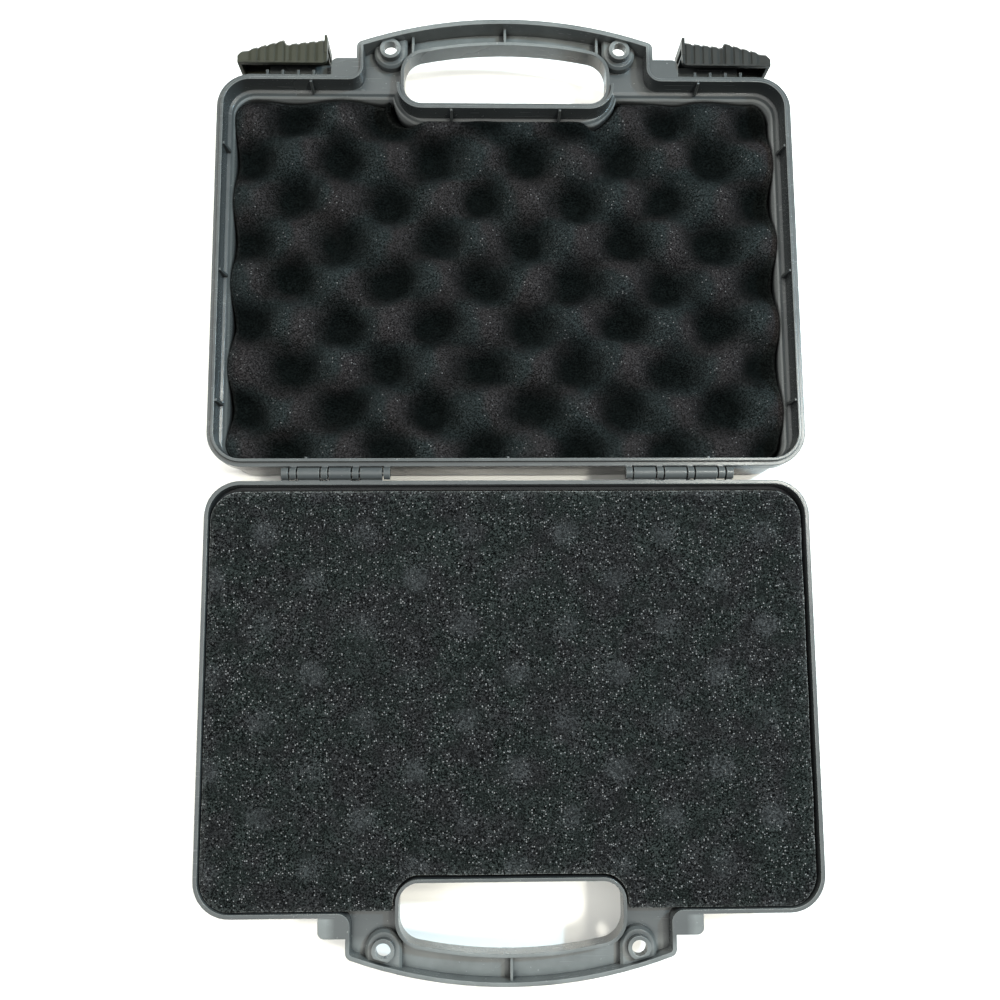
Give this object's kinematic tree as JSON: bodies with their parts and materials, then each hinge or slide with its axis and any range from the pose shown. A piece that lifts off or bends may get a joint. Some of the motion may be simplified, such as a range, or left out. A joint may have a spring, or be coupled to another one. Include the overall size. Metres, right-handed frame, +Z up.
{
  "type": "microphone case",
  "caption": "Open clamshell plastic carrying case with a moulded handle, sliding latches, pin hinges, a flat foam base and an egg-crate foam lid.",
  "frame": {"origin": "on the table below the middle of the hinge line, with the case lying open on its back", "axes": "+X along the hinge to the right, +Y from the hinge towards the lid's handle, +Z up"},
  "size_m": [0.275, 0.4458, 0.0424],
  "materials": {
    "shell": "moulded polypropylene, glossy rim, charcoal grey",
    "latch": "satin black moulded nylon",
    "foam": "open-cell polyurethane foam, black",
    "pin": "drawn steel wire"
  },
  "bodies": {
    "base": {"base_shell": "shell", "base_foam": "foam", "hinge_pin_left": "pin", "hinge_pin_right": "pin"},
    "lid": {"lid_shell": "shell", "lid_foam": "foam"},
    "left_latch": {"latch_left": "latch"},
    "right_latch": {"latch_right": "latch"}
  },
  "joints": [
    {"name": "lid_hinge", "type": "hinge", "parent": "base", "child": "lid", "pos_m": [0, 0, 0.0381], "axis": [1, 0, 0], "range_deg": [0, 180]},
    {"name": "left_latch_slide", "type": "slide", "parent": "lid", "child": "left_latch", "axis": [1, 0, 0], "range_m": [0, 0.0115]},
    {"name": "right_latch_slide", "type": "slide", "parent": "lid", "child": "right_latch", "axis": [-1, 0, 0], "range_m": [0, 0.0115]}
  ]
}
